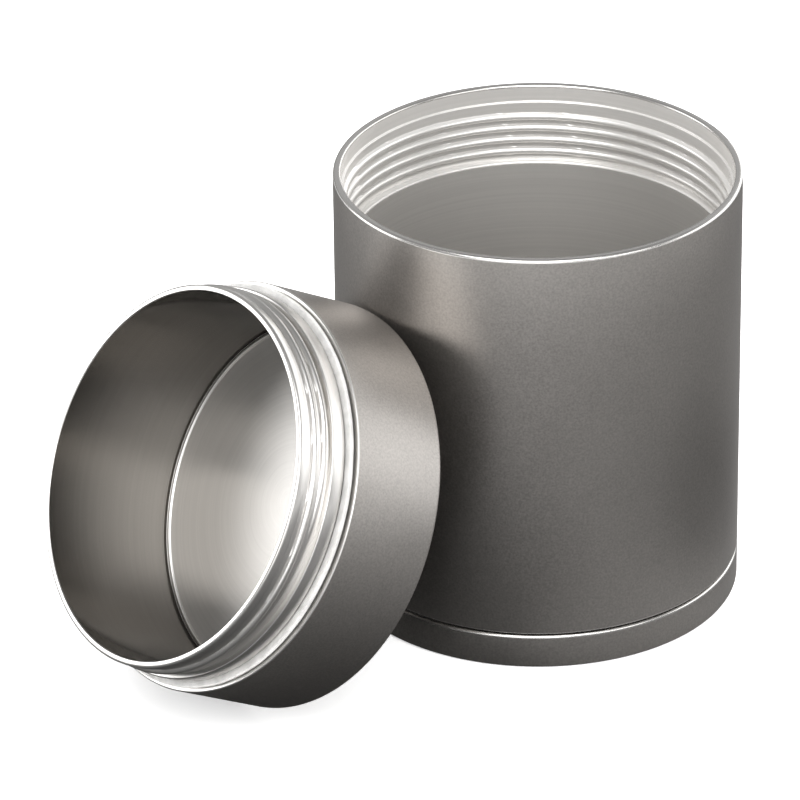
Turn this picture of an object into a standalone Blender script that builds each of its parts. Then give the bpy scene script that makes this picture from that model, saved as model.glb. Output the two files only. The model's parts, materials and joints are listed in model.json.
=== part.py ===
"""Travel pill organizer: a turned metal jar with its screw cap off and leaning on the jar.

Units are metres and +Z is up. The jar stands on z = 0 with its axis on the Z axis.
"""

import math

import bmesh
import bpy
from mathutils import Matrix, Vector

# Overall sizes
BODY_RADIUS = 0.0215
JAR_HEIGHT = 0.0479
SKIRT_LENGTH = 0.0115
NECK_LENGTH = 0.0065

# Jar
JAR_WALL = 0.0018
JAR_RIM_WALL = 0.00085
FEMALE_THREAD_LENGTH = 0.0054
BASE_BAND_HEIGHT = 0.0038
BASE_FLOOR = 0.0016
BASE_SPIGOT_LENGTH = 0.0028
BASE_SPIGOT_WALL = 0.0010

# Cap
CAP_END_THICKNESS = 0.0008
NECK_WALL = 0.00055
NECK_LAND_STEP = 0.00012
NECK_LAND_LENGTH = 0.0011
PILOT_STEP = 0.00065
PILOT_LENGTH = 0.00165
SEAL_SEAT_DEPTH = 0.00055
SLEEVE_FOOT_HEIGHT = 0.0006
SLEEVE_FOOT_LIP = 0.0005
DISC_THICKNESS = 0.0006
SEAL_THICKNESS = 0.0005
SEAL_INSET = 0.0004

# Thread, shared by the jar and the cap
THREAD_PITCH = 0.00135
THREAD_RIDGE_RADIUS = 0.00042
THREAD_ENGAGEMENT = 0.00021
THREAD_FADE = 0.12

# Clearances
SEAT_GAP = 0.00025
SEAL_GAP = 0.0002
PILOT_CLEARANCE = 0.0002
LEAN_GAP = 0.0003

# Edges
EDGE_BEVEL = 0.00015
MOUTH_CHAMFER = 0.00015
ROLLED_EDGE = 0.00035

# The cap's pose beside the jar, and how far its neck enters the mouth when it is set on top
CAP_TILT = math.radians(28.1)
CAP_FACING = math.radians(215.7)
CAP_BEARING = math.radians(218.9)
START_DEPTH = 0.0005

# Facets
TURNED_STEPS = 64
HELIX_STEPS = 36
ROLLED_STEPS = 3

# Radii that follow, from the jar's wall inwards
COUNTERBORE_RADIUS = BODY_RADIUS - JAR_RIM_WALL
PILOT_RADIUS = COUNTERBORE_RADIUS - PILOT_CLEARANCE
NECK_ROOT_RADIUS = PILOT_RADIUS - PILOT_STEP
NECK_LAND_RADIUS = NECK_ROOT_RADIUS + NECK_LAND_STEP
NECK_BORE_RADIUS = NECK_ROOT_RADIUS - NECK_WALL
SLEEVE_RADIUS = PILOT_RADIUS - SEAL_SEAT_DEPTH
CUP_BORE_RADIUS = SLEEVE_RADIUS + SEAT_GAP
SEAL_INNER_RADIUS = SLEEVE_RADIUS + SEAT_GAP
SEAL_OUTER_RADIUS = BODY_RADIUS - SEAL_INSET
THREAD_WALL_RADIUS = NECK_ROOT_RADIUS + 2.0 * THREAD_RIDGE_RADIUS - THREAD_ENGAGEMENT
JAR_BORE_RADIUS = BODY_RADIUS - JAR_WALL
SPIGOT_RADIUS = JAR_BORE_RADIUS - SEAT_GAP

# Heights that follow: the jar's from its underside, the cap's from its closed end
SHELL_BOTTOM = BASE_BAND_HEIGHT + SEAT_GAP
COUNTERBORE_DEPTH = PILOT_LENGTH + SEAT_GAP
SLEEVE_START = CAP_END_THICKNESS + SEAT_GAP
SEAL_START = SKIRT_LENGTH + SEAL_GAP
SEAL_END = SEAL_START + SEAL_THICKNESS
PILOT_START = SEAL_END + SEAL_GAP
PILOT_END = PILOT_START + PILOT_LENGTH
CAP_LENGTH = SKIRT_LENGTH + NECK_LENGTH
LAND_START = CAP_LENGTH - NECK_LAND_LENGTH
MALE_TURNS = (LAND_START - PILOT_END - 2.0 * THREAD_RIDGE_RADIUS) / THREAD_PITCH
FEMALE_TURNS = FEMALE_THREAD_LENGTH / THREAD_PITCH


def make_collection(name):
    collection = bpy.data.collections.new(name)
    bpy.context.scene.collection.children.link(collection)
    return collection


def make_material(name, color, metallic, roughness):
    material = bpy.data.materials.new(name)
    material.use_nodes = True
    shader = material.node_tree.nodes["Principled BSDF"]
    shader.inputs["Base Color"].default_value = (*color, 1.0)
    shader.inputs["Metallic"].default_value = metallic
    shader.inputs["Roughness"].default_value = roughness
    return material


def make_empty(name, matrix, collection):
    empty = bpy.data.objects.new(name, None)
    empty.empty_display_size = 0.01
    collection.objects.link(empty)
    empty.matrix_world = matrix
    return empty


def turned(name, profile, closed, material, collection, bevel=EDGE_BEVEL):
    """Turn a profile of (radius, height) points about the local Z axis.

    The points run down the outer side. A closed profile is a ring, an open one ends on the axis.
    """
    mesh = bpy.data.meshes.new(name)
    points = [(radius, 0.0, height) for radius, height in profile]
    edges = [(i, i + 1) for i in range(len(points) - 1)]
    if closed:
        edges.append((len(points) - 1, 0))
    mesh.from_pydata(points, edges, [])
    obj = bpy.data.objects.new(name, mesh)
    collection.objects.link(obj)
    obj.data.materials.append(material)

    screw = obj.modifiers.new("Turn", "SCREW")
    screw.axis = "Z"
    screw.steps = TURNED_STEPS
    screw.render_steps = TURNED_STEPS
    screw.use_merge_vertices = True
    screw.merge_threshold = 0.00001
    screw.use_smooth_shade = True

    if bevel > 0.0:
        edge = obj.modifiers.new("Edges", "BEVEL")
        edge.width = bevel
        edge.segments = 1
        edge.limit_method = "ANGLE"
        edge.angle_limit = math.radians(40.0)
    return obj


def helix_ridge(name, radius, start, turns, collection):
    """A rounded thread ridge, as a closed solid that fades out at both ends."""
    curve = bpy.data.curves.new(name, "CURVE")
    curve.dimensions = "3D"
    curve.twist_mode = "Z_UP"
    curve.bevel_depth = THREAD_RIDGE_RADIUS
    curve.bevel_resolution = 1
    curve.use_fill_caps = True
    count = int(round(turns * HELIX_STEPS)) + 1
    spline = curve.splines.new("POLY")
    spline.points.add(count - 1)
    for i, point in enumerate(spline.points):
        turn = turns * i / (count - 1)
        angle = 2.0 * math.pi * turn
        height = start + THREAD_PITCH * turn
        point.co = (radius * math.cos(angle), radius * math.sin(angle), height, 1.0)
        point.radius = min(1.0, 0.35 + 0.65 * min(turn, turns - turn) / THREAD_FADE)
    tube = bpy.data.objects.new(name + "_curve", curve)
    collection.objects.link(tube)

    bpy.context.view_layer.update()
    evaluated = tube.evaluated_get(bpy.context.evaluated_depsgraph_get())
    mesh = bpy.data.meshes.new_from_object(evaluated)
    mesh.name = name
    mesh.materials.clear()
    ridge = bpy.data.objects.new(name, mesh)
    ridge.matrix_world = tube.matrix_world
    bpy.data.objects.remove(tube)
    collection.objects.link(ridge)

    solid = bmesh.new()
    solid.from_mesh(mesh)
    bmesh.ops.remove_doubles(solid, verts=solid.verts, dist=0.000001)
    bmesh.ops.recalc_face_normals(solid, faces=solid.faces)
    solid.to_mesh(mesh)
    solid.free()
    ridge.hide_render = True
    ridge.display_type = "WIRE"
    return ridge


def add_ridge(obj, ridge):
    union = obj.modifiers.new("Thread", "BOOLEAN")
    union.operation = "UNION"
    union.solver = "EXACT"
    union.object = ridge


def hang(obj, parent, offset=None):
    """Parent an object, with its own place given in the parent's frame."""
    obj.parent = parent
    obj.matrix_parent_inverse = Matrix.Identity(4)
    obj.matrix_basis = offset if offset is not None else Matrix.Identity(4)


def jar_shell_profile():
    thread_depth = COUNTERBORE_DEPTH + (FEMALE_TURNS + 1.0) * THREAD_PITCH
    return [
        (BODY_RADIUS, JAR_HEIGHT),
        (BODY_RADIUS, SHELL_BOTTOM),
        (JAR_BORE_RADIUS, SHELL_BOTTOM),
        (JAR_BORE_RADIUS, JAR_HEIGHT - thread_depth),
        (THREAD_WALL_RADIUS, JAR_HEIGHT - thread_depth),
        (THREAD_WALL_RADIUS, JAR_HEIGHT - COUNTERBORE_DEPTH),
        (COUNTERBORE_RADIUS, JAR_HEIGHT - COUNTERBORE_DEPTH),
        (COUNTERBORE_RADIUS, JAR_HEIGHT),
    ]


def jar_base_profile():
    spigot_top = BASE_BAND_HEIGHT + BASE_SPIGOT_LENGTH
    return [
        (0.0, BASE_FLOOR),
        (SPIGOT_RADIUS - BASE_SPIGOT_WALL, BASE_FLOOR),
        (SPIGOT_RADIUS - BASE_SPIGOT_WALL, spigot_top),
        (SPIGOT_RADIUS, spigot_top),
        (SPIGOT_RADIUS, BASE_BAND_HEIGHT),
        (BODY_RADIUS, BASE_BAND_HEIGHT),
        (BODY_RADIUS, 0.0),
        (0.0, 0.0),
    ]


def cap_shell_profile():
    profile = [
        (0.0, CAP_END_THICKNESS),
        (CUP_BORE_RADIUS, CAP_END_THICKNESS),
        (CUP_BORE_RADIUS, SKIRT_LENGTH),
        (BODY_RADIUS, SKIRT_LENGTH),
    ]
    for step in range(ROLLED_STEPS + 1):
        angle = 0.5 * math.pi * step / ROLLED_STEPS
        radius = BODY_RADIUS - ROLLED_EDGE * (1.0 - math.cos(angle))
        height = ROLLED_EDGE * (1.0 - math.sin(angle))
        profile.append((radius, height))
    profile.append((0.0, 0.0))
    return profile


def cap_collar_profile():
    foot = SLEEVE_START + SLEEVE_FOOT_HEIGHT
    return [
        (NECK_LAND_RADIUS - MOUTH_CHAMFER, CAP_LENGTH),
        (NECK_LAND_RADIUS, CAP_LENGTH - MOUTH_CHAMFER),
        (NECK_LAND_RADIUS, LAND_START),
        (NECK_ROOT_RADIUS, LAND_START),
        (NECK_ROOT_RADIUS, PILOT_END),
        (PILOT_RADIUS, PILOT_END),
        (PILOT_RADIUS, PILOT_START),
        (SLEEVE_RADIUS, PILOT_START),
        (SLEEVE_RADIUS, SLEEVE_START),
        (NECK_BORE_RADIUS - SLEEVE_FOOT_LIP, SLEEVE_START),
        (NECK_BORE_RADIUS - SLEEVE_FOOT_LIP, foot),
        (NECK_BORE_RADIUS, foot + SLEEVE_FOOT_LIP),
        (NECK_BORE_RADIUS, CAP_LENGTH),
    ]


def cap_disc_profile():
    radius = NECK_BORE_RADIUS - SLEEVE_FOOT_LIP - SEAT_GAP
    return [
        (0.0, SLEEVE_START + DISC_THICKNESS),
        (radius, SLEEVE_START + DISC_THICKNESS),
        (radius, SLEEVE_START),
        (0.0, SLEEVE_START),
    ]


def seal_profile():
    return [
        (SEAL_OUTER_RADIUS, SEAL_END),
        (SEAL_OUTER_RADIUS, SEAL_START),
        (SEAL_INNER_RADIUS, SEAL_START),
        (SEAL_INNER_RADIUS, SEAL_END),
    ]


def ring_clearance(centre, across, along):
    """Least distance from the jar's axis to a circle through centre, in two unit directions."""
    radius = BODY_RADIUS - ROLLED_EDGE
    nearest = 1.0
    for step in range(720):
        angle = math.radians(step * 0.5)
        point = centre + radius * (math.cos(angle) * across + math.sin(angle) * along)
        nearest = min(nearest, math.hypot(point.x, point.y))
    return nearest


def leaning_cap():
    """The closed end's centre and the direction that the opening faces, with the cap at rest.

    The cap stands on the rolled edge of its closed end, and the same edge leans on the jar.
    """
    level = math.cos(CAP_TILT)
    facing = Vector((
        level * math.cos(CAP_FACING),
        level * math.sin(CAP_FACING),
        math.sin(CAP_TILT),
    ))
    across = facing.cross(Vector((0.0, 0.0, 1.0))).normalized()
    along = across.cross(facing)
    height = (BODY_RADIUS - ROLLED_EDGE) * level + ROLLED_EDGE
    wanted = BODY_RADIUS + LEAN_GAP + ROLLED_EDGE
    distance = 1.5 * BODY_RADIUS
    for _ in range(40):
        ring_centre = Vector((
            distance * math.cos(CAP_BEARING),
            distance * math.sin(CAP_BEARING),
            height,
        ))
        distance += wanted - ring_clearance(ring_centre, across, along)
    return ring_centre - ROLLED_EDGE * facing, facing


def swing_axis(rest_centre, facing):
    """The fixed axis about which the leaning cap turns over to stand upright on the mouth."""
    down = Vector((0.0, 0.0, -1.0))
    start_centre = Vector((0.0, 0.0, JAR_HEIGHT - START_DEPTH + CAP_LENGTH))
    travel = start_centre - rest_centre
    direction = (facing - down).cross(travel).normalized()
    before = (facing - facing.dot(direction) * direction).normalized()
    after = (down - down.dot(direction) * direction).normalized()
    angle = math.atan2(before.cross(after).dot(direction), before.dot(after))
    if angle < 0.0:
        angle += 2.0 * math.pi
    middle = 0.5 * (rest_centre + start_centre)
    point = middle + direction.cross(travel) / (2.0 * math.tan(0.5 * angle))
    return point, direction, angle


def build():
    for obj in list(bpy.data.objects):
        bpy.data.objects.remove(obj)

    parts = make_collection("travel_pill_organizer")
    cutters = make_collection("thread_ridges")

    blasted = make_material("blasted_titanium", (0.26, 0.245, 0.225), 1.0, 0.42)
    blasted_cap = make_material("blasted_titanium_cap", (0.25, 0.235, 0.215), 1.0, 0.40)
    turned_neck = make_material("turned_titanium_neck", (0.62, 0.60, 0.57), 1.0, 0.22)
    blasted_base = make_material("blasted_titanium_base", (0.24, 0.225, 0.205), 1.0, 0.42)
    spun_disc = make_material("spun_titanium_disc", (0.55, 0.53, 0.50), 1.0, 0.30)
    silicone = make_material("clear_silicone", (0.80, 0.79, 0.76), 0.0, 0.35)

    jar_shell = turned("jar_shell", jar_shell_profile(), True, blasted, parts)
    jar_base = turned("jar_base", jar_base_profile(), False, blasted_base, parts)
    female_start = JAR_HEIGHT - COUNTERBORE_DEPTH - (FEMALE_TURNS + 0.5) * THREAD_PITCH
    female = helix_ridge("female_ridge", THREAD_WALL_RADIUS, female_start, FEMALE_TURNS, cutters)
    add_ridge(jar_shell, female)

    centre, facing = leaning_cap()
    point, direction, _ = swing_axis(centre, facing)
    swing_turn = direction.to_track_quat("Z", "Y").to_matrix().to_4x4()
    swing_frame = Matrix.Translation(point) @ swing_turn
    cap_frame = Matrix.Translation(centre) @ facing.to_track_quat("Z", "Y").to_matrix().to_4x4()
    swing_empty = make_empty("cap_swing_axis", swing_frame, parts)
    cap_in_swing = swing_frame.inverted() @ cap_frame
    cap_empty = make_empty("cap_turn_axis", Matrix.Identity(4), parts)
    hang(cap_empty, swing_empty, cap_in_swing)

    cap_shell = turned("cap_shell", cap_shell_profile(), False, blasted_cap, parts)
    cap_collar = turned("cap_collar", cap_collar_profile(), True, turned_neck, parts, 0.0)
    cap_disc = turned("cap_end_disc", cap_disc_profile(), False, spun_disc, parts)
    seal = turned("seal_ring", seal_profile(), True, silicone, parts, 0.0)
    male_start = 0.5 * (PILOT_END + LAND_START - MALE_TURNS * THREAD_PITCH)
    male = helix_ridge("male_ridge", NECK_ROOT_RADIUS, male_start, MALE_TURNS, cutters)
    add_ridge(cap_collar, male)
    for piece in (cap_shell, cap_collar, cap_disc, male):
        hang(piece, cap_empty)
    hang(seal, swing_empty, cap_in_swing)

    bpy.context.view_layer.update()


build()
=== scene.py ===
"""Travel pill organizer: the fine model, its finishes, lights and camera.

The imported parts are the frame. Each piece here stands for one of them and rides on its body.
Units are metres and +Z is up. The jar stands on z = 0 with its axis on the Z axis.
"""

import json
import math

import bmesh
import bpy
from bpy.props import FloatProperty, FloatVectorProperty, IntProperty, PointerProperty
from mathutils import Matrix, Vector


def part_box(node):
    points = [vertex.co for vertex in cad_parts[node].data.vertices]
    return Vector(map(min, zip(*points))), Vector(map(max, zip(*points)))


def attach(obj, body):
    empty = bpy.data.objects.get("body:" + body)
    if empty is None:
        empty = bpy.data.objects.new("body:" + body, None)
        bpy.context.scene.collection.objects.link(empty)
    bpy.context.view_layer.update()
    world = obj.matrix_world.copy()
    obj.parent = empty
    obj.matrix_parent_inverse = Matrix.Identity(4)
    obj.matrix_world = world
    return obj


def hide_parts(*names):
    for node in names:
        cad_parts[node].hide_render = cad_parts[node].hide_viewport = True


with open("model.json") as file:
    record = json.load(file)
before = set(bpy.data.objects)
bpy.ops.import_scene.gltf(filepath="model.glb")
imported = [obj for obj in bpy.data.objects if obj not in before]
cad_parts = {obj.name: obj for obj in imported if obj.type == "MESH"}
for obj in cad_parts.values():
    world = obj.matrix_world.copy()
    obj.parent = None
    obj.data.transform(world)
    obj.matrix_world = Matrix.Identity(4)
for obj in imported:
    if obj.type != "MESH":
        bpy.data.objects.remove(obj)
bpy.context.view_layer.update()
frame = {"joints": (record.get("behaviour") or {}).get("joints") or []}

bl_info = {
    "name": "Travel Pill Organizer",
    "version": (1, 0, 0),
    "blender": (4, 5, 0),
    "location": "View3D > Sidebar > Organizer",
    "description": "Builds a turned metal pill jar with its screw cap, its finishes and its studio",
    "category": "Add Mesh",
}

MM = 0.001

JAR_LOW, JAR_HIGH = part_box("jar_shell")
CAP_JOINT = next(j for j in frame["joints"] if j["name"] == "cap_turn")
CAP_CENTRE = Vector(CAP_JOINT["pos_m"])
CAP_FACING = Vector(CAP_JOINT["axis"]).normalized()

# The neck and the jar's mouth, from the mouth of the counterbore inwards
PILOT_CLEARANCE = 0.2 * MM
PILOT_STEP = 0.65 * MM
PILOT_LENGTH = 1.65 * MM
RIDGE_RADIUS = 0.42 * MM
RIDGE_SUNK = 0.21 * MM
LAND_STEP = 0.12 * MM
LAND_LENGTH = 1.1 * MM
NECK_WALL = 0.55 * MM
JAR_THREAD_LENGTH = 5.4 * MM
JAR_THREAD_FADE = 0.08
NECK_THREAD_FADE = 0.12

# The seal and what holds it
SEAT_DEPTH = 0.55 * MM
SEAL_INSET = 0.4 * MM
SEAL_THICKNESS = 0.5 * MM
SEAL_GAP = 0.2 * MM
SEAL_RIPPLE = 0.03 * MM
SEAL_WAVES = ((0.5, 7.0, 0.0), (0.3, 19.0, 1.0), (0.2, 41.0, 2.0))  # share, waves round, shift

# The jar's base
BASE_FLOOR = 1.6 * MM
SPIGOT_WALL = 1.0 * MM
SPIGOT_LENGTH = 2.8 * MM

# The cap's closed end, the collar's foot and the disc that it holds
END_THICKNESS = 0.8 * MM
FOOT_HEIGHT = 0.6 * MM
FOOT_LIP = 0.05 * MM
DISC_CLEARANCE = 0.17 * MM
DISC_DISH = 0.12 * MM
DISC_RINGS = 12
BEAD_WIDTH = 0.48 * MM
BEAD_HEIGHT = 0.20 * MM
BEAD_SLOPE = 0.12 * MM

# Rows of facets along the threads
JAR_THREAD_ROWS = 0.075 * MM
NECK_THREAD_ROWS = 0.06 * MM

# Edges sharper than this catch the light as an edge
SHARP_EDGE = math.radians(38.0)


# ---------------------------------------------------------------- colours and node helpers

def linear(hex_colour):
    """An sRGB hex colour as linear red, green and blue."""
    channels = [int(hex_colour[i:i + 2], 16) / 255.0 for i in (1, 3, 5)]
    return tuple(c / 12.92 if c <= 0.04045 else ((c + 0.055) / 1.055) ** 2.4 for c in channels)


def node(tree, kind, settings=None, **links):
    """Add a node with its settings and links.

    Settings are its properties, its inputs' values by name or number, or "stops", a colour
    ramp's (position, colour) pairs. A link's name is the input's, or i and its number.
    """
    made = tree.nodes.new(kind)
    for key, value in (settings or {}).items():
        if key == "stops":
            elements = made.color_ramp.elements
            while len(elements) < len(value):
                elements.new(0.5)
            for element, (position, colour) in zip(elements, value):
                element.position = position
                element.color = (*colour, 1.0)
        elif isinstance(key, str) and hasattr(made, key):
            setattr(made, key, value)
        else:
            made.inputs[key].default_value = value
    for key, source in links.items():
        socket = int(key[1:]) if key[0] == "i" and key[1:].isdigit() else key.replace("_", " ")
        tree.links.new(source, made.inputs[socket])
    return made


def start_material(name):
    """A new material with a Principled BSDF, its node tree and the shader."""
    material = bpy.data.materials.get(name)
    if material is not None:
        return material, None, None
    material = bpy.data.materials.new(name)
    material.use_nodes = True
    return material, material.node_tree, material.node_tree.nodes["Principled BSDF"]


def spread(colour, factor):
    """A colour made lighter or darker by a factor, and no lighter than white."""
    return tuple(min(1.0, channel * factor) for channel in colour)


def greys(pairs):
    """(position, grey) pairs as a ramp's stops."""
    return [(position, (grey,) * 3) for position, grey in pairs]


# ---------------------------------------------------------------- finishes

# The cap is a little rougher than the jar, which spreads its sheen wider.
BLASTED_ROUGHNESS = {
    "blasted_titanium_jar": 0.36,
    "blasted_titanium_base": 0.36,
    "blasted_titanium_cap": 0.41,
}

# Each turned finish's colour, roughness, ring spacing in mm, ring depth, anisotropy and metallic
TURNED_FINISHES = {
    # Fine finishing cut: a crisp bright line along every edge.
    "turned_titanium_rim": ("turned", 0.24, 0.20, 0.05, 0.1, 1.0),
    # Finishing cut over the neck: broad soft white bands between dark grooves.
    "turned_titanium_neck": ("turned", 0.30, 0.20, 0.03, 0.1, 1.0),
    # Boring cut deep in the jar: coarser and duller. Metallic is set a little low to lighten
    # it. The real one is all metal.
    "bored_titanium_jar": ("turned", 0.46, 0.35, 0.15, 0.1, 0.90),
    # Satin wall of the jar's mouth and thread: pale all round. Metallic is set low for that
    # paleness. The real one is all metal.
    "satin_titanium_thread": ("turned", 0.26, 0.20, 0.06, 0.1, 0.60),
    # Bore of the cap: darker and smooth, and darker still where it mirrors itself.
    "brushed_titanium_bore": ("bore", 0.16, 0.30, 0.08, 0.0, 1.0),
    # Spun disc: pale and soft, with faint rings round its middle.
    "spun_titanium_disc": ("disc", 0.42, 0.5, 0.06, 0.0, 1.0),
    # Faced underside: plain, dull and visibly ringed.
    "faced_titanium_underside": ("bore", 0.34, 0.5, 0.5, 0.1, 1.0),
}


def blasted_titanium(name, colour):
    """Bead-blasted titanium: warm grey, an even satin sheen and a fine pitted grain."""
    material, tree, shader = start_material(name)
    if tree is None:
        return material
    place = node(tree, "ShaderNodeTexCoord").outputs["Object"]
    roughness = BLASTED_ROUGHNESS[name]
    # 0.1 mm beads leave pits that are too fine to show, so the grain is drawn at 0.22 mm.
    grain = node(tree, "ShaderNodeTexNoise", {"Scale": 1.0 / (0.22 * MM), "Detail": 2.0},
                 Vector=place)
    # Handling leaves soft clouds about 14 mm across, only just lighter and darker.
    cloud = node(tree, "ShaderNodeTexNoise", {"Scale": 1.0 / (14.0 * MM), "Detail": 3.0},
                 Vector=place)
    clouds = [(0.3, spread(colour, 0.95)), (0.7, spread(colour, 1.05))]
    tone = node(tree, "ShaderNodeValToRGB", {"stops": clouds}, Fac=cloud.outputs["Fac"])
    flecks = greys([(0.30, 0.88), (0.70, 1.12)])
    fleck = node(tree, "ShaderNodeValToRGB", {"stops": flecks}, Fac=grain.outputs["Fac"])
    mixed = node(tree, "ShaderNodeMix", {"data_type": "RGBA", "blend_type": "MULTIPLY", 0: 1.0},
                 i6=tone.outputs["Color"], i7=fleck.outputs["Color"])
    rough = node(tree, "ShaderNodeMapRange",
                 {"To Min": roughness - 0.05, "To Max": roughness + 0.05},
                 Value=grain.outputs["Fac"])
    bump = node(tree, "ShaderNodeBump", {"Strength": 0.35, "Distance": 0.01 * MM},
                Height=grain.outputs["Fac"])
    shader.inputs["Metallic"].default_value = 1.0
    tree.links.new(mixed.outputs[2], shader.inputs["Base Color"])
    tree.links.new(rough.outputs["Result"], shader.inputs["Roughness"])
    tree.links.new(bump.outputs["Normal"], shader.inputs["Normal"])
    return material


def turned_titanium(name):
    """Lathe-turned titanium: bright, with fine rings left by the tool all the way round.

    UV x runs round the piece and UV y along its profile in metres, so rings follow UV y.
    """
    material, tree, shader = start_material(name)
    if tree is None:
        return material
    shade, roughness, feed_mm, depth, anisotropy, metallic = TURNED_FINISHES[name]
    colour = getattr(colours(), shade)
    uv = node(tree, "ShaderNodeUVMap", {"uv_map": "Turned"}).outputs["UV"]
    # A feed of about 0.05 mm is too fine to show, so the rings are drawn feed_mm apart.
    scale = (1.0, 1.0 / (feed_mm * MM), 1.0)
    along = node(tree, "ShaderNodeVectorMath", {"operation": "MULTIPLY", 1: scale}, i0=uv)
    rings = node(tree, "ShaderNodeTexNoise", {"Scale": 1.0, "Detail": 3.0, "Roughness": 0.7},
                 Vector=along.outputs[0])
    stops = [(0.30, spread(colour, 0.95)), (0.70, spread(colour, 1.04))]
    tone = node(tree, "ShaderNodeValToRGB", {"stops": stops}, Fac=rings.outputs["Fac"])
    rough = node(tree, "ShaderNodeMapRange",
                 {"To Min": roughness - 0.03, "To Max": roughness + 0.03},
                 Value=rings.outputs["Fac"])
    bump = node(tree, "ShaderNodeBump", {"Strength": depth, "Distance": 0.01 * MM},
                Height=rings.outputs["Fac"])
    tangent = node(tree, "ShaderNodeTangent", {"direction_type": "UV_MAP", "uv_map": "Turned"})
    shader.inputs["Metallic"].default_value = metallic
    shader.inputs["Anisotropic"].default_value = anisotropy
    tree.links.new(tone.outputs["Color"], shader.inputs["Base Color"])
    tree.links.new(rough.outputs["Result"], shader.inputs["Roughness"])
    tree.links.new(bump.outputs["Normal"], shader.inputs["Normal"])
    tree.links.new(tangent.outputs["Tangent"], shader.inputs["Tangent"])
    return material


def clear_silicone(name, colour):
    """Moulded silicone: milky, slightly cloudy, with a soft waxy shine."""
    material, tree, shader = start_material(name)
    if tree is None:
        return material
    place = node(tree, "ShaderNodeTexCoord").outputs["Object"]
    # Soft cloudy patches, drawn about 1.2 mm across.
    cloud = node(tree, "ShaderNodeTexNoise", {"Scale": 1.0 / (1.2 * MM), "Detail": 3.0},
                 Vector=place)
    stops = [(0.35, spread(colour, 0.82)), (0.65, spread(colour, 1.05))]
    tone = node(tree, "ShaderNodeValToRGB", {"stops": stops}, Fac=cloud.outputs["Fac"])
    bump = node(tree, "ShaderNodeBump", {"Strength": 0.3, "Distance": 0.03 * MM},
                Height=cloud.outputs["Fac"])
    shader.inputs["Roughness"].default_value = 0.38
    shader.inputs["IOR"].default_value = 1.41
    shader.inputs["Subsurface Weight"].default_value = 0.5
    shader.inputs["Subsurface Radius"].default_value = (1.0, 1.0, 1.0)
    shader.inputs["Subsurface Scale"].default_value = 0.4 * MM
    tree.links.new(tone.outputs["Color"], shader.inputs["Base Color"])
    tree.links.new(bump.outputs["Normal"], shader.inputs["Normal"])
    return material


# ---------------------------------------------------------------- turned shapes

def rounded(points, closed, radii, steps=4):
    """Round a profile's corners. Points are (radius, height, zone), radii is one per point.

    The zone names the finish of the stretch that starts at the point.
    """
    count = len(points)
    out = []
    for i, (x, z, zone) in enumerate(points):
        last = points[i - 1]
        after = points[(i + 1) % count]
        size = radii[i]
        if size <= 0.0 or (not closed and i in (0, count - 1)):
            out.append((x, z, zone))
            continue
        corner = Vector((x, z))
        one = Vector((last[0], last[1])) - corner
        two = Vector((after[0], after[1])) - corner
        size = min(size, 0.45 * one.length, 0.45 * two.length)
        start = corner + one.normalized() * size
        end = corner + two.normalized() * size
        for step in range(steps + 1):
            t = step / steps
            point = start.lerp(corner, t).lerp(corner.lerp(end, t), t)
            arc_zone = zone if step == steps else "edge:" + zone
            out.append((point.x, point.y, arc_zone))
    return out


def filled(points, spacing, low, high, zone):
    """Add rows every spacing along the stretches of one zone, between two heights."""
    out = []
    count = len(points)
    for i, (x, z, name) in enumerate(points):
        out.append((x, z, name))
        after = points[(i + 1) % count]
        if name != zone or min(z, after[1]) < low - 1e-6 or max(z, after[1]) > high + 1e-6:
            continue
        rows = int(abs(after[1] - z) / spacing)
        for row in range(1, rows):
            t = row / rows
            out.append((x + (after[0] - x) * t, z + (after[1] - z) * t, name))
    return out


def turned_mesh(name, profile, closed, segments, materials, zones, place=None, thread=None):
    """Turn a profile about Z and put the result in the row frame.

    zones says which material slot each zone of the profile takes. thread, where given, maps
    (angle, radius, height, zone) to a new radius, which cuts or raises a helix on the wall.
    """
    place = place or Matrix.Identity(4)
    mesh = bpy.data.meshes.new(name)
    shape = bmesh.new()
    uv_layer = shape.loops.layers.uv.new("Turned")
    count = len(profile)
    travel = [0.0]
    for i in range(count):
        a, b = profile[i], profile[(i + 1) % count]
        travel.append(travel[-1] + math.hypot(b[0] - a[0], b[1] - a[1]))
    rows = []
    for x, z, zone in profile:
        if x < 1e-7:
            rows.append([shape.verts.new(place @ Vector((0.0, 0.0, z)))] * segments)
            continue
        ring = []
        for step in range(segments):
            angle = 2.0 * math.pi * step / segments
            radius = thread(angle, x, z, zone) if thread else x
            spot = Vector((radius * math.cos(angle), radius * math.sin(angle), z))
            ring.append(shape.verts.new(place @ spot))
        rows.append(ring)
    last = count if closed else count - 1
    for i in range(last):
        upper, lower = rows[i], rows[(i + 1) % count]
        zone = profile[i][2]
        slot = zones[zone if zone in zones else zone.replace("edge:", "")]
        for step in range(segments):
            after = (step + 1) % segments
            corners = [
                (upper[step], step, travel[i]),
                (lower[step], step, travel[i + 1]),
                (lower[after], step + 1, travel[i + 1]),
                (upper[after], step + 1, travel[i]),
            ]
            if upper[step] is upper[after]:
                corners.pop(3)
            if lower[step] is lower[after]:
                corners.pop(2)
            face = shape.faces.new([c[0] for c in corners])
            face.material_index = slot
            face.smooth = True
            for loop, (_, turn, along) in zip(face.loops, corners):
                loop[uv_layer].uv = (turn / segments, along)
    bmesh.ops.recalc_face_normals(shape, faces=shape.faces)
    shape.to_mesh(mesh)
    shape.free()
    mesh.set_sharp_from_angle(angle=SHARP_EDGE)
    obj = bpy.data.objects.new(name, mesh)
    bpy.context.scene.collection.objects.link(obj)
    for material in materials:
        mesh.materials.append(material)
    return obj


def finish_piece(obj, body, cad_node):
    """Hang a piece on its body and hide the part that it stands for."""
    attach(obj, body)
    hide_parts(cad_node)


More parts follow.
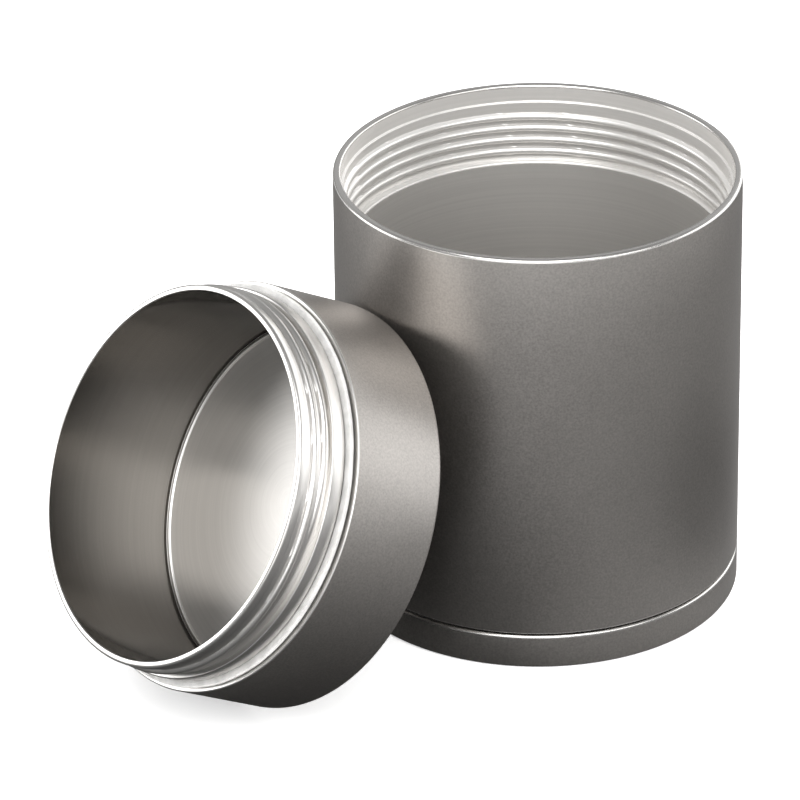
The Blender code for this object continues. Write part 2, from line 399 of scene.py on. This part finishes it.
def cap_place():
    """The cap's own frame: its closed end's centre, with +Z towards the opening."""
    return Matrix.Translation(CAP_CENTRE) @ CAP_FACING.to_track_quat("Z", "Y").to_matrix().to_4x4()


def ridge_height(offset, half_width):
    """A rounded thread ridge's height, 0 to 1, at an axial offset from its crest."""
    t = abs(offset) / half_width
    return math.sqrt(max(0.0, 1.0 - t * t)) if t < 1.0 else 0.0


def helix(start, turns, pitch, half_width, fade, phase):
    """A function of (angle, height) that gives the height of a helical ridge, 0 to 1."""
    def level(angle, height):
        best = 0.0
        base = (angle + phase) / (2.0 * math.pi) % 1.0
        first = int(math.floor((height - start) / pitch - base)) - 1
        for whole in range(first, first + 4):
            turn = whole + base
            if turn < 0.0 or turn > turns:
                continue
            strength = min(1.0, min(turn, turns - turn) / fade)
            strength = strength * strength * (3.0 - 2.0 * strength)
            crest = start + pitch * turn
            best = max(best, strength * ridge_height(height - crest, half_width))
        return best
    return level


# ---------------------------------------------------------------- what a user would change

class OrganizerSizes(bpy.types.PropertyGroup):
    """The sizes of the turned pieces, as the parts have them."""

    body_radius: FloatProperty(
        name="Body radius", description="Outer radius of the jar and the cap",
        default=JAR_HIGH.x, min=0.005, unit="LENGTH", precision=5)
    jar_height: FloatProperty(
        name="Jar height", description="From the surface it stands on to the rim",
        default=JAR_HIGH.z, min=0.01, unit="LENGTH", precision=5)
    band_height: FloatProperty(
        name="Base band", description="Height of the base's visible band",
        default=3.8 * MM, unit="LENGTH", precision=5)
    seam_gap: FloatProperty(
        name="Seam", description="Gap between the base and the shell, and between pressed pieces",
        default=0.25 * MM, unit="LENGTH", precision=5)
    jar_wall: FloatProperty(
        name="Jar wall", description="Thickness of the jar's wall below the thread",
        default=1.8 * MM, unit="LENGTH", precision=5)
    rim_wall: FloatProperty(
        name="Rim wall", description="Thickness of the jar's wall at the rim",
        default=0.85 * MM, unit="LENGTH", precision=5)
    skirt_length: FloatProperty(
        name="Skirt", description="Length of the cap's grey skirt",
        default=11.5 * MM, unit="LENGTH", precision=5)
    neck_length: FloatProperty(
        name="Neck", description="Length of the bright neck beyond the skirt",
        default=6.5 * MM, unit="LENGTH", precision=5)
    thread_pitch: FloatProperty(
        name="Thread pitch", description="Rise of the thread in one turn",
        default=1.35 * MM, unit="LENGTH", precision=5)
    segments: IntProperty(
        name="Segments", description="Facets round each turned piece",
        default=256, min=48, max=512)


class OrganizerColours(bpy.types.PropertyGroup):
    """The colours of the finishes."""

    blasted: FloatVectorProperty(
        name="Blasted metal", description="Outside of the jar and the cap",
        subtype="COLOR", size=3, min=0.0, max=1.0, default=linear("#afaba7"))
    turned: FloatVectorProperty(
        name="Turned metal", description="Neck, rim and threads",
        subtype="COLOR", size=3, min=0.0, max=1.0, default=linear("#dcdad7"))
    bore: FloatVectorProperty(
        name="Bore", description="Inside walls of the jar and the cap",
        subtype="COLOR", size=3, min=0.0, max=1.0, default=linear("#7a7773"))
    disc: FloatVectorProperty(
        name="Disc", description="The disc at the bottom of the cap",
        subtype="COLOR", size=3, min=0.0, max=1.0, default=linear("#dddbd8"))
    silicone: FloatVectorProperty(
        name="Silicone", description="The seal ring",
        subtype="COLOR", size=3, min=0.0, max=1.0, default=linear("#b8b7b5"))
    floor: FloatVectorProperty(
        name="Floor", description="The studio floor",
        subtype="COLOR", size=3, min=0.0, max=1.0, default=linear("#f7f7f7"))
    # Base colour of the sheet that carries the painted reflection, light and shade
    table: FloatVectorProperty(
        name="Sheet", description="The grey sheet that the metal reflects",
        subtype="COLOR", size=3, min=0.0, max=1.0, default=linear("#808080"))


def sizes():
    """The sizes as they are set in the scene."""
    return bpy.context.scene.organizer_sizes


def colours():
    """The colours as they are set in the scene."""
    return bpy.context.scene.organizer_colours


class Radii:
    """The radii and heights that follow from the sizes, as in the parts."""

    def __init__(self):
        s = sizes()
        self.body = s.body_radius
        self.counterbore = self.body - s.rim_wall
        self.pilot = self.counterbore - PILOT_CLEARANCE
        self.root = self.pilot - PILOT_STEP
        self.ridge = RIDGE_RADIUS
        self.land = self.root + LAND_STEP
        self.neck_bore = self.root - NECK_WALL
        self.sleeve = self.pilot - SEAT_DEPTH
        self.cup_bore = self.sleeve + s.seam_gap
        self.seal_outer = self.body - SEAL_INSET
        self.thread_wall = self.root + 2.0 * self.ridge - RIDGE_SUNK
        self.jar_bore = self.body - s.jar_wall
        self.spigot = self.jar_bore - s.seam_gap
        self.shell_bottom = s.band_height + s.seam_gap
        self.counterbore_depth = PILOT_LENGTH + s.seam_gap
        self.end = END_THICKNESS
        self.sleeve_start = self.end + s.seam_gap
        self.seal_start = s.skirt_length + SEAL_GAP
        self.seal_end = self.seal_start + SEAL_THICKNESS
        self.pilot_start = self.seal_end + SEAL_GAP
        self.pilot_end = self.pilot_start + PILOT_LENGTH
        self.cap_length = s.skirt_length + s.neck_length
        self.land_start = self.cap_length - LAND_LENGTH


# ---------------------------------------------------------------- operators, one for each piece

class ORGANIZER_OT_jar_shell(bpy.types.Operator):
    """Make the jar's tube with its rim, counterbore and female thread"""

    bl_idname = "organizer.jar_shell"
    bl_label = "Jar Shell"

    def execute(self, context):
        s, r, c = sizes(), Radii(), colours()
        top = s.jar_height
        step_z = top - r.counterbore_depth
        relief_z = step_z - JAR_THREAD_LENGTH - s.thread_pitch
        points = [
            (r.body, top, "outside"),
            (r.body, r.shell_bottom, "foot"),
            (r.jar_bore, r.shell_bottom, "bore"),
            (r.jar_bore, relief_z, "relief"),
            (r.thread_wall, relief_z, "thread"),
            (r.thread_wall, step_z, "step"),
            (r.counterbore, step_z, "counterbore"),
            (r.counterbore, top, "rim"),
        ]
        radii = [size * MM for size in (0.34, 0.16, 0.2, 0.3, 0.1, 0.1, 0.1, 0.28)]
        profile = rounded(points, True, radii)
        profile = filled(profile, JAR_THREAD_ROWS, relief_z, step_z, "thread")
        start = step_z - JAR_THREAD_LENGTH - 0.5 * s.thread_pitch
        turns = JAR_THREAD_LENGTH / s.thread_pitch
        level = helix(start, turns, s.thread_pitch, r.ridge, JAR_THREAD_FADE, 0.0)

        def cut(angle, radius, height, zone):
            if zone != "thread":
                return radius
            return radius - r.ridge * level(angle, height)

        finishes = [
            blasted_titanium("blasted_titanium_jar", c.blasted),
            turned_titanium("turned_titanium_rim"),
            turned_titanium("bored_titanium_jar"),
            turned_titanium("satin_titanium_thread"),
        ]
        zones = {"outside": 0, "edge:outside": 1, "foot": 1, "bore": 2, "relief": 3, "thread": 3,
                 "step": 3, "counterbore": 3, "rim": 1}
        obj = turned_mesh("jar_shell_turned", profile, True, s.segments, finishes, zones,
                          thread=cut)
        finish_piece(obj, "jar", "jar_shell")
        return {"FINISHED"}


class ORGANIZER_OT_jar_base(bpy.types.Operator):
    """Make the pressed-in base with its band and spigot"""

    bl_idname = "organizer.jar_base"
    bl_label = "Jar Base"

    def execute(self, context):
        s, r, c = sizes(), Radii(), colours()
        floor = BASE_FLOOR
        inner = r.spigot - SPIGOT_WALL
        top = s.band_height + SPIGOT_LENGTH
        points = [
            (0.0, floor, "inside"),
            (inner, floor, "inside"),
            (inner, top, "spigot"),
            (r.spigot, top, "spigot"),
            (r.spigot, s.band_height, "spigot"),
            (r.body, s.band_height, "band"),
            (r.body, 0.0, "under"),
            (0.0, 0.0, "under"),
        ]
        radii = [size * MM for size in (0.0, 0.5, 0.15, 0.15, 0.1, 0.32, 0.35, 0.0)]
        profile = rounded(points, False, radii)
        finishes = [
            blasted_titanium("blasted_titanium_base", spread(c.blasted, 0.93)),
            turned_titanium("turned_titanium_rim"),
            turned_titanium("bored_titanium_jar"),
            turned_titanium("faced_titanium_underside"),
        ]
        zones = {"band": 0, "edge:band": 1, "under": 3, "edge:under": 0, "inside": 2, "spigot": 1}
        obj = turned_mesh("jar_base_turned", profile, False, s.segments, finishes, zones)
        finish_piece(obj, "jar", "jar_base")
        return {"FINISHED"}


class ORGANIZER_OT_cap_shell(bpy.types.Operator):
    """Make the cap's outer cup, skirt and closed end"""

    bl_idname = "organizer.cap_shell"
    bl_label = "Cap Shell"

    def execute(self, context):
        s, r, c = sizes(), Radii(), colours()
        points = [
            (0.0, r.end, "inside"),
            (r.cup_bore, r.end, "inside"),
            (r.cup_bore, s.skirt_length, "shoulder"),
            (r.body, s.skirt_length, "outside"),
            (r.body, 0.0, "end"),
            (0.0, 0.0, "end"),
        ]
        radii = [0.0, 0.2 * MM, 0.1 * MM, 0.16 * MM, 0.4 * MM, 0.0]
        profile = rounded(points, False, radii, 5)
        finishes = [
            blasted_titanium("blasted_titanium_cap", c.blasted),
            turned_titanium("turned_titanium_neck"),
        ]
        zones = {"outside": 0, "end": 0, "shoulder": 1, "edge:outside": 1, "inside": 1}
        obj = turned_mesh("cap_shell_turned", profile, False, s.segments, finishes, zones,
                          cap_place())
        finish_piece(obj, "cap", "cap_shell")
        return {"FINISHED"}


class ORGANIZER_OT_cap_collar(bpy.types.Operator):
    """Make the cap's inner sleeve and its threaded neck"""

    bl_idname = "organizer.cap_collar"
    bl_label = "Cap Collar"

    def execute(self, context):
        s, r = sizes(), Radii()
        foot = r.sleeve_start + FOOT_HEIGHT
        lip = FOOT_LIP
        points = [
            (r.land, r.cap_length, "land"),
            (r.land, r.land_start, "thread"),
            (r.root, r.land_start, "thread"),
            (r.root, r.pilot_end, "pilot"),
            (r.pilot, r.pilot_end, "pilot"),
            (r.pilot, r.pilot_start, "sleeve"),
            (r.sleeve, r.pilot_start, "sleeve"),
            (r.sleeve, r.sleeve_start, "foot"),
            (r.neck_bore - lip, r.sleeve_start, "foot"),
            (r.neck_bore - lip, foot, "foot"),
            (r.neck_bore, foot + lip, "bore"),
            (r.neck_bore, r.cap_length, "lip"),
        ]
        radii = [size * MM for size in (0.30, 0.1, 0.05, 0.05, 0.15, 0.15, 0.05,
                                        0.1, 0.1, 0.1, 0.1, 0.14)]
        profile = rounded(points, True, radii)
        profile = filled(profile, NECK_THREAD_ROWS, r.pilot_end, r.land_start, "thread")
        turns = (r.land_start - r.pilot_end - 2.0 * r.ridge) / s.thread_pitch
        start = 0.5 * (r.pilot_end + r.land_start - turns * s.thread_pitch)
        level = helix(start, turns, s.thread_pitch, r.ridge, NECK_THREAD_FADE, 0.0)

        def raise_ridge(angle, radius, height, zone):
            if "thread" not in zone:
                return radius
            return max(radius, r.root + r.ridge * level(angle, height))

        finishes = [
            turned_titanium("turned_titanium_neck"),
            turned_titanium("brushed_titanium_bore"),
        ]
        zones = {"land": 0, "thread": 0, "pilot": 0, "sleeve": 0, "foot": 0, "bore": 1, "lip": 0}
        obj = turned_mesh("cap_collar_turned", profile, True, s.segments, finishes, zones,
                          cap_place(), raise_ridge)
        finish_piece(obj, "cap", "cap_collar")
        return {"FINISHED"}


class ORGANIZER_OT_cap_end_disc(bpy.types.Operator):
    """Make the spun disc at the bottom of the cap's bore"""

    bl_idname = "organizer.cap_end_disc"
    bl_label = "Cap End Disc"

    def execute(self, context):
        s, r = sizes(), Radii()
        radius = r.neck_bore - DISC_CLEARANCE
        top = r.sleeve_start + FOOT_HEIGHT
        flat = radius - BEAD_WIDTH
        points = []
        for ring in range(DISC_RINGS):
            out = ring / DISC_RINGS
            points.append((flat * ring / DISC_RINGS, top - DISC_DISH * (1.0 - out ** 2), "face"))
        points += [
            (flat, top, "bead"),
            (flat + BEAD_SLOPE, top + BEAD_HEIGHT, "bead"),
            (radius - BEAD_SLOPE, top + BEAD_HEIGHT, "bead"),
            (radius, top, "side"),
            (radius, r.sleeve_start, "side"),
            (0.0, r.sleeve_start, "side"),
        ]
        radii = [0.0] * DISC_RINGS + [0.03 * MM, 0.12 * MM, 0.12 * MM, 0.1 * MM, 0.1 * MM, 0.0]
        profile = rounded(points, False, radii)
        finishes = [
            turned_titanium("spun_titanium_disc"),
            turned_titanium("turned_titanium_neck"),
        ]
        zones = {"face": 0, "bead": 1, "side": 1}
        obj = turned_mesh("cap_end_disc_spun", profile, False, s.segments, finishes, zones,
                          cap_place())
        finish_piece(obj, "cap", "cap_end_disc")
        return {"FINISHED"}


class ORGANIZER_OT_seal_ring(bpy.types.Operator):
    """Make the silicone seal ring beside the shoulder"""

    bl_idname = "organizer.seal_ring"
    bl_label = "Seal Ring"

    def execute(self, context):
        s, r, c = sizes(), Radii(), colours()
        inner = r.sleeve + s.seam_gap
        points = [
            (r.seal_outer, r.seal_end, "skin"),
            (r.seal_outer, r.seal_start, "skin"),
            (inner, r.seal_start, "skin"),
            (inner, r.seal_end, "skin"),
        ]
        profile = rounded(points, True, [0.22 * MM, 0.22 * MM, 0.1 * MM, 0.1 * MM])
        finishes = [clear_silicone("clear_silicone_seal", c.silicone)]

        def uneven(angle, radius, height, zone):
            wave = sum(share * math.sin(count * angle + shift)
                       for share, count, shift in SEAL_WAVES)
            return radius + SEAL_RIPPLE * wave

        obj = turned_mesh("seal_ring_moulded", profile, True, s.segments, finishes, {"skin": 0},
                          cap_place(), uneven)
        finish_piece(obj, "seal", "seal_ring")
        return {"FINISHED"}


# Each softbox's name, azimuth from the front towards +X, elevation, distance, width, height, power
SOFTBOXES = (
    ("softbox_top", 0.0, 86.0, 0.80, 1.60, 1.60, 15.0),
    ("softbox_front", -6.0, 50.0, 0.90, 0.90, 0.96, 8.4),
    ("softbox_front_low", -8.0, 7.0, 0.90, 0.80, 0.30, 1.2),
    ("softbox_front_right", 44.0, 20.0, 0.80, 0.46, 0.32, 1.1),
    ("softbox_left", -99.0, 9.0, 0.50, 0.30, 0.28, 0.92),
    ("softbox_right", 122.0, 14.0, 0.50, 0.90, 0.34, 1.60),
)
LIGHT_AIM = Vector((-0.010, -0.010, 0.024))
# The metal doesn't mirror this box. It lights what scatters light: the floor, the seal and
# the finishes that aren't fully metallic.
UNMIRRORED_BOX = "softbox_top"

STAGE_HALF = 1.6
# The floor and the sheet lie just under the jar's foot, so that they don't cut it.
FLOOR_HEIGHT = -0.00005
SHEET_HEIGHT = -0.00002

# Painted reflection light: brightness painted on the grey sheet by distance from the jar's axis,
# which the metal mirrors as light and shade. The distance is a share of SHEET_REACH, and the
# brightness multiplies the sheet's colour.
SHEET_REACH = 0.300
PAINTED_REFLECTION_STOPS = ((0.075, 3.00), (0.125, 1.20), (0.16, 0.72), (0.20, 0.60), (0.26, 0.48),
               (0.36, 0.24), (0.50, 0.40), (0.68, 1.5), (1.0, 3.0))
# Painted round shadows on the sheet: middle, reach, and how much light is left by share of the
# reach. The first is painted shade under the leaning cap and the second painted shade beside the
# jar's foot.
PAINTED_SHEET_SHADOWS = (
    ((-0.018, -0.022, 0.0), 0.075, ((0.20, 0.08), (0.40, 0.30), (0.66, 0.75), (0.9, 1.0))),
    ((0.042, 0.000, 0.0), 0.060, ((0.20, 0.30), (0.75, 1.0))),
)
# Brightness of the studio's walls and ceiling, from the horizon up
SKY_STOPS = ((0.0, 0.12), (0.15, 0.25), (0.42, 0.55), (0.62, 0.40), (0.85, 0.28), (1.0, 0.28))
PAPER_GLOW = 0.42

CAMERA_LENS = 283.3
CAMERA_SENSOR = 36.0
CAMERA_SPOT = Vector((0.0, -0.59364702, 0.33581618))
CAMERA_BACK = Vector((0.02188413, -0.88293029, 0.46899381))


def add_light(name, azimuth, elevation, distance, width, height, power):
    """Hang a softbox round the object and turn it to face the light's aim."""
    turn, rise = math.radians(azimuth), math.radians(elevation)
    level = math.cos(rise)
    towards = Vector((level * math.sin(turn), -level * math.cos(turn), math.sin(rise)))
    data = bpy.data.lights.new(name, "AREA")
    data.shape = "RECTANGLE"
    data.size = width
    data.size_y = height
    data.energy = power
    lamp = bpy.data.objects.new(name, data)
    bpy.context.scene.collection.objects.link(lamp)
    lamp.location = LIGHT_AIM + distance * towards
    lamp.visible_glossy = name != UNMIRRORED_BOX
    lamp.rotation_mode = "QUATERNION"
    lamp.rotation_quaternion = (-towards).to_track_quat("-Z", "Y")


def flat_sheet(name, height):
    """A level square that covers the stage."""
    half = STAGE_HALF
    mesh = bpy.data.meshes.new(name)
    corners = [(-half, -half, height), (half, -half, height),
               (half, half, height), (-half, half, height)]
    mesh.from_pydata(corners, [], [(0, 1, 2, 3)])
    sheet = bpy.data.objects.new(name, mesh)
    bpy.context.scene.collection.objects.link(sheet)
    return sheet


def add_painted_reflection_sheet(colour):
    """A grey sheet under the object, with painted light and shade, which only the metal's
    reflections see.

    Its painted light is bright at the jar's foot, darkest about 0.1 m out and bright again far
    away, with painted round shadows where the cap and the jar stand over it. As a painted
    reflection, it gives the metal its soft steps.
    """
    sheet = flat_sheet("studio_table", SHEET_HEIGHT)
    material, tree, shader = start_material("studio_grey_sheet")
    place = node(tree, "ShaderNodeTexCoord").outputs["Object"]
    reach = node(tree, "ShaderNodeVectorMath", {"operation": "LENGTH"}, i0=place)
    share = node(tree, "ShaderNodeMapRange", {"From Max": SHEET_REACH},
                 Value=reach.outputs["Value"])
    # Painted light and shade on the sheet, by distance from the jar
    stops = [(position, spread(colour, level)) for position, level in PAINTED_REFLECTION_STOPS]
    tone = node(tree, "ShaderNodeValToRGB", {"stops": stops},
                Fac=share.outputs["Result"]).outputs["Color"]
    # Painted shadows of the cap and the jar, multiplied into the sheet's painted light
    for middle, radius, levels in PAINTED_SHEET_SHADOWS:
        offset = node(tree, "ShaderNodeVectorMath", {"operation": "DISTANCE", 1: middle}, i0=place)
        near = node(tree, "ShaderNodeMapRange", {"From Max": radius},
                    Value=offset.outputs["Value"])
        shade = node(tree, "ShaderNodeValToRGB", {"stops": greys(levels)},
                     Fac=near.outputs["Result"])
        mixed = node(tree, "ShaderNodeMix",
                     {"data_type": "RGBA", "blend_type": "MULTIPLY", 0: 1.0},
                     i6=tone, i7=shade.outputs["Color"])
        tone = mixed.outputs[2]
    tree.links.new(tone, shader.inputs["Base Color"])
    shader.inputs["Roughness"].default_value = 0.9
    sheet.data.materials.append(material)
    sheet.visible_camera = False
    sheet.visible_diffuse = False
    sheet.visible_shadow = False
    sheet.visible_transmission = False


class ORGANIZER_OT_stage(bpy.types.Operator):
    """Make the pale floor, the studio lights and the camera"""

    bl_idname = "organizer.stage"
    bl_label = "Stage"

    def execute(self, context):
        c = colours()
        scene = bpy.context.scene
        floor = flat_sheet("studio_floor", FLOOR_HEIGHT)
        material, tree, shader = start_material("studio_floor_paper")
        place = node(tree, "ShaderNodeTexCoord").outputs["Object"]
        # Paper's tooth of about 0.1 mm is too fine to show, so it is drawn at 1.11 mm.
        tooth = node(tree, "ShaderNodeTexNoise", {"Scale": 1.0 / (1.11 * MM), "Detail": 2.0},
                     Vector=place)
        stops = [(0.4, spread(c.floor, 0.995)), (0.6, spread(c.floor, 1.005))]
        tone = node(tree, "ShaderNodeValToRGB", {"stops": stops}, Fac=tooth.outputs["Fac"])
        tree.links.new(tone.outputs["Color"], shader.inputs["Base Color"])
        shader.inputs["Roughness"].default_value = 0.9
        # The sweep is lit a little from below, which keeps the shadows on it soft and pale.
        shader.inputs["Emission Color"].default_value = (1.0, 1.0, 1.0, 1.0)
        shader.inputs["Emission Strength"].default_value = PAPER_GLOW
        floor.data.materials.append(material)
        floor.visible_glossy = False
        # A sheet with painted reflection, light and shade, which only the metal sees
        add_painted_reflection_sheet(c.table)

        world = bpy.data.worlds.new("studio")
        scene.world = world
        world.use_nodes = True
        backdrop = world.node_tree.nodes["Background"]
        way = node(world.node_tree, "ShaderNodeTexCoord").outputs["Generated"]
        height = node(world.node_tree, "ShaderNodeSeparateXYZ", Vector=way).outputs["Z"]
        sky = node(world.node_tree, "ShaderNodeValToRGB", {"stops": greys(SKY_STOPS)}, Fac=height)
        world.node_tree.links.new(sky.outputs["Color"], backdrop.inputs["Color"])
        backdrop.inputs["Strength"].default_value = 1.0

        for softbox in SOFTBOXES:
            add_light(*softbox)

        camera = bpy.data.cameras.new("camera")
        camera.lens = CAMERA_LENS
        camera.sensor_width = CAMERA_SENSOR
        camera.clip_start = 0.05
        camera.clip_end = 20.0
        eye = bpy.data.objects.new("camera", camera)
        scene.collection.objects.link(eye)
        back = CAMERA_BACK.normalized()
        right = (Vector((1.0, 0.0, 0.0)) - back.x * back).normalized()
        up = back.cross(right)
        turn = Matrix((right, up, back)).transposed().to_4x4()
        eye.matrix_world = Matrix.Translation(CAMERA_SPOT) @ turn
        scene.camera = eye
        scene.view_settings.view_transform = "Standard"
        scene.view_settings.look = "None"
        return {"FINISHED"}


class ORGANIZER_PT_panel(bpy.types.Panel):
    """The organizer's pieces and settings in the sidebar"""

    bl_idname = "ORGANIZER_PT_panel"
    bl_label = "Travel Pill Organizer"
    bl_space_type = "VIEW_3D"
    bl_region_type = "UI"
    bl_category = "Organizer"

    def draw(self, context):
        layout = self.layout
        for group in (context.scene.organizer_sizes, context.scene.organizer_colours):
            column = layout.column(align=True)
            for name in group.__annotations__:
                column.prop(group, name)
        column = layout.column(align=True)
        for operator in OPERATORS:
            column.operator(operator.bl_idname)


OPERATORS = (
    ORGANIZER_OT_jar_shell,
    ORGANIZER_OT_jar_base,
    ORGANIZER_OT_cap_shell,
    ORGANIZER_OT_cap_collar,
    ORGANIZER_OT_cap_end_disc,
    ORGANIZER_OT_seal_ring,
    ORGANIZER_OT_stage,
)

CLASSES = (OrganizerSizes, OrganizerColours, *OPERATORS, ORGANIZER_PT_panel)


def register():
    for cls in CLASSES:
        bpy.utils.register_class(cls)
    bpy.types.Scene.organizer_sizes = PointerProperty(type=OrganizerSizes)
    bpy.types.Scene.organizer_colours = PointerProperty(type=OrganizerColours)


def unregister():
    del bpy.types.Scene.organizer_colours
    del bpy.types.Scene.organizer_sizes
    for cls in reversed(CLASSES):
        bpy.utils.unregister_class(cls)


def main():
    register()
    bpy.ops.organizer.jar_shell()
    bpy.ops.organizer.jar_base()
    bpy.ops.organizer.cap_shell()
    bpy.ops.organizer.cap_collar()
    bpy.ops.organizer.cap_end_disc()
    bpy.ops.organizer.seal_ring()
    bpy.ops.organizer.stage()
    bpy.context.view_layer.update()


if __name__ == "__main__":
    main()
